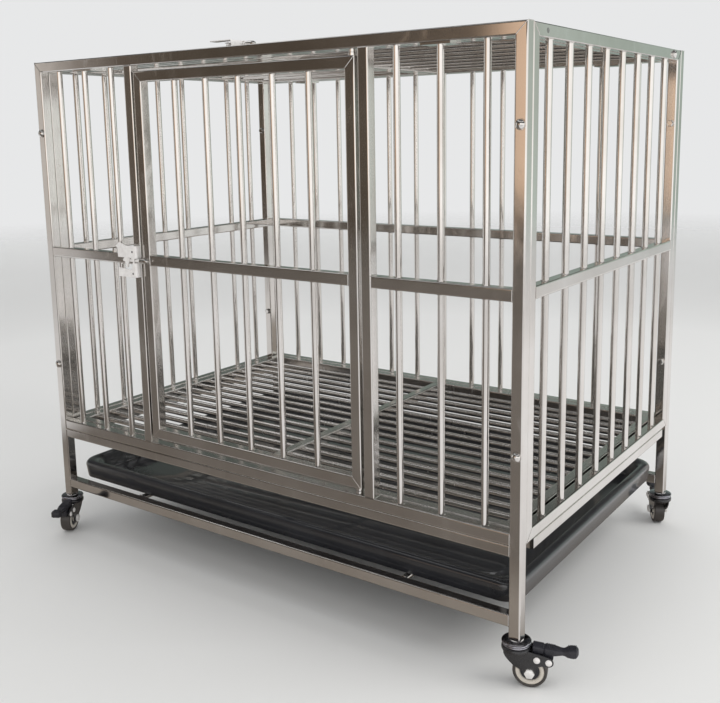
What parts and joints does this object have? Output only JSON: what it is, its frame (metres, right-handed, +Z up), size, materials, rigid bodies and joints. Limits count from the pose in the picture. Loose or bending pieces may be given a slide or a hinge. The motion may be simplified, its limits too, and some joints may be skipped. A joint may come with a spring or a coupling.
{
  "type": "kennel cage",
  "caption": "Rectangular stainless steel kennel cage of square tube and round bars with a hinged front door, hinged roof door, floor grate, sliding tray and braked swivel casters.",
  "frame": {"origin": "on the floor under the middle of the cage", "axes": "+X along the long side to the right seen from the front, the front faces -Y, +Z up"},
  "size_m": [1.3986, 0.9724, 1.123],
  "materials": {
    "stainless_tube": "polished stainless steel tube with weld tint and light smears",
    "bright_plating": "bright zinc plating",
    "tray_plastic": "black satin plastic with a soft sheen",
    "fork_paint": "black satin paint on pressed steel",
    "wheel_core": "cream moulded plastic",
    "wheel_tread": "dark hard rubber",
    "pedal_plastic": "black ribbed plastic"
  },
  "bodies": {
    "frame": {"front_panel": "stainless_tube", "back_panel": "stainless_tube", "left_side_panel": "stainless_tube", "right_side_panel": "stainless_tube", "roof_panel": "stainless_tube", "floor_grate": "stainless_tube", "tray_support_left": "stainless_tube", "tray_support_right": "stainless_tube", "hinge_pin_lower": "bright_plating", "hinge_pin_upper": "bright_plating", "roof_hinge_pin_left": "bright_plating", "roof_hinge_pin_right": "bright_plating", "front_latch_bracket": "bright_plating", "roof_latch_keeper": "bright_plating", "corner_bolt_lower_fl": "bright_plating", "corner_bolt_lower_fr": "bright_plating", "corner_bolt_lower_bl": "bright_plating", "corner_bolt_lower_br": "bright_plating", "corner_bolt_upper_fl": "bright_plating", "corner_bolt_upper_fr": "bright_plating", "corner_bolt_upper_bl": "bright_plating", "corner_bolt_upper_br": "bright_plating", "roof_bolt_front_left": "bright_plating", "roof_bolt_back_left": "bright_plating", "roof_bolt_back_right": "bright_plating", "caster_fl_stem": "bright_plating", "caster_fr_stem": "bright_plating", "caster_bl_stem": "bright_plating", "caster_br_stem": "bright_plating"},
    "front_door": {"front_door": "stainless_tube", "front_latch_keeper": "bright_plating"},
    "front_latch": {"front_latch_bolt": "bright_plating"},
    "roof_door": {"roof_door": "stainless_tube", "roof_latch_bracket": "bright_plating"},
    "roof_latch": {"roof_latch_bolt": "bright_plating"},
    "tray": {"tray": "tray_plastic"},
    "caster_fl_swivel": {"caster_fl_fork": "fork_paint", "caster_fl_axle": "bright_plating"},
    "caster_fl_wheel": {"caster_fl_wheel": "wheel_core", "caster_fl_tread": "wheel_tread"},
    "caster_fl_brake": {"caster_fl_pedal": "pedal_plastic"},
    "caster_fr_swivel": {"caster_fr_fork": "fork_paint", "caster_fr_axle": "bright_plating"},
    "caster_fr_wheel": {"caster_fr_wheel": "wheel_core", "caster_fr_tread": "wheel_tread"},
    "caster_fr_brake": {"caster_fr_pedal": "pedal_plastic"},
    "caster_bl_swivel": {"caster_bl_fork": "fork_paint", "caster_bl_axle": "bright_plating"},
    "caster_bl_wheel": {"caster_bl_wheel": "wheel_core", "caster_bl_tread": "wheel_tread"},
    "caster_bl_brake": {"caster_bl_pedal": "pedal_plastic"},
    "caster_br_swivel": {"caster_br_fork": "fork_paint", "caster_br_axle": "bright_plating"},
    "caster_br_wheel": {"caster_br_wheel": "wheel_core", "caster_br_tread": "wheel_tread"},
    "caster_br_brake": {"caster_br_pedal": "pedal_plastic"}
  },
  "joints": [
    {"name": "front_door_hinge", "type": "hinge", "parent": "frame", "child": "front_door", "pos_m": [0.271, -0.39, 0.68], "axis": [0, 0, 1], "range_deg": [0, 110]},
    {"name": "front_latch_slide", "type": "slide", "parent": "frame", "child": "front_latch", "axis": [1, 0, 0], "range_m": [-0.02, 0.014]},
    {"name": "roof_door_hinge", "type": "hinge", "parent": "frame", "child": "roof_door", "pos_m": [-0.28, 0.3375, 1.09815], "axis": [-1, 0, 0], "range_deg": [0, 110]},
    {"name": "roof_latch_slide", "type": "slide", "parent": "roof_door", "child": "roof_latch", "axis": [1, 0, 0], "range_m": [-0.02, 0.014]},
    {"name": "tray_slide", "type": "slide", "parent": "frame", "child": "tray", "axis": [1, 0, 0], "range_m": [0, 0.6]},
    {"name": "caster_fl_swivel", "type": "hinge", "parent": "frame", "child": "caster_fl_swivel", "pos_m": [-0.597, -0.39, 0.07], "axis": [0, 0, 1], "continuous": true},
    {"name": "caster_fl_roll", "type": "hinge", "parent": "caster_fl_swivel", "child": "caster_fl_wheel", "pos_m": [-0.585, -0.41079, 0.03], "axis": [0.866, 0.5, 0], "continuous": true},
    {"name": "caster_fl_brake", "type": "hinge", "parent": "caster_fl_swivel", "child": "caster_fl_brake", "pos_m": [-0.569, -0.4385, 0.053], "axis": [0.866, 0.5, 0], "range_deg": [0, 12]},
    {"name": "caster_fr_swivel", "type": "hinge", "parent": "frame", "child": "caster_fr_swivel", "pos_m": [0.597, -0.39, 0.07], "axis": [0, 0, 1], "continuous": true},
    {"name": "caster_fr_roll", "type": "hinge", "parent": "caster_fr_swivel", "child": "caster_fr_wheel", "pos_m": [0.61955, -0.38179, 0.03], "axis": [-0.342, 0.9397, 0], "continuous": true},
    {"name": "caster_fr_brake", "type": "hinge", "parent": "caster_fr_swivel", "child": "caster_fr_brake", "pos_m": [0.64962, -0.37085, 0.053], "axis": [-0.342, 0.9397, 0], "range_deg": [0, 12]},
    {"name": "caster_bl_swivel", "type": "hinge", "parent": "frame", "child": "caster_bl_swivel", "pos_m": [-0.597, 0.39, 0.07], "axis": [0, 0, 1], "continuous": true},
    {"name": "caster_bl_roll", "type": "hinge", "parent": "caster_bl_swivel", "child": "caster_bl_wheel", "pos_m": [-0.61955, 0.38179, 0.03], "axis": [0.342, -0.9397, 0], "continuous": true},
    {"name": "caster_bl_brake", "type": "hinge", "parent": "caster_bl_swivel", "child": "caster_bl_brake", "pos_m": [-0.64962, 0.37085, 0.053], "axis": [0.342, -0.9397, 0], "range_deg": [0, 12]},
    {"name": "caster_br_swivel", "type": "hinge", "parent": "frame", "child": "caster_br_swivel", "pos_m": [0.597, 0.39, 0.07], "axis": [0, 0, 1], "continuous": true},
    {"name": "caster_br_roll", "type": "hinge", "parent": "caster_br_swivel", "child": "caster_br_wheel", "pos_m": [0.585, 0.41079, 0.03], "axis": [-0.866, -0.5, 0], "continuous": true},
    {"name": "caster_br_brake", "type": "hinge", "parent": "caster_br_swivel", "child": "caster_br_brake", "pos_m": [0.569, 0.4385, 0.053], "axis": [-0.866, -0.5, 0], "range_deg": [0, 12]}
  ]
}
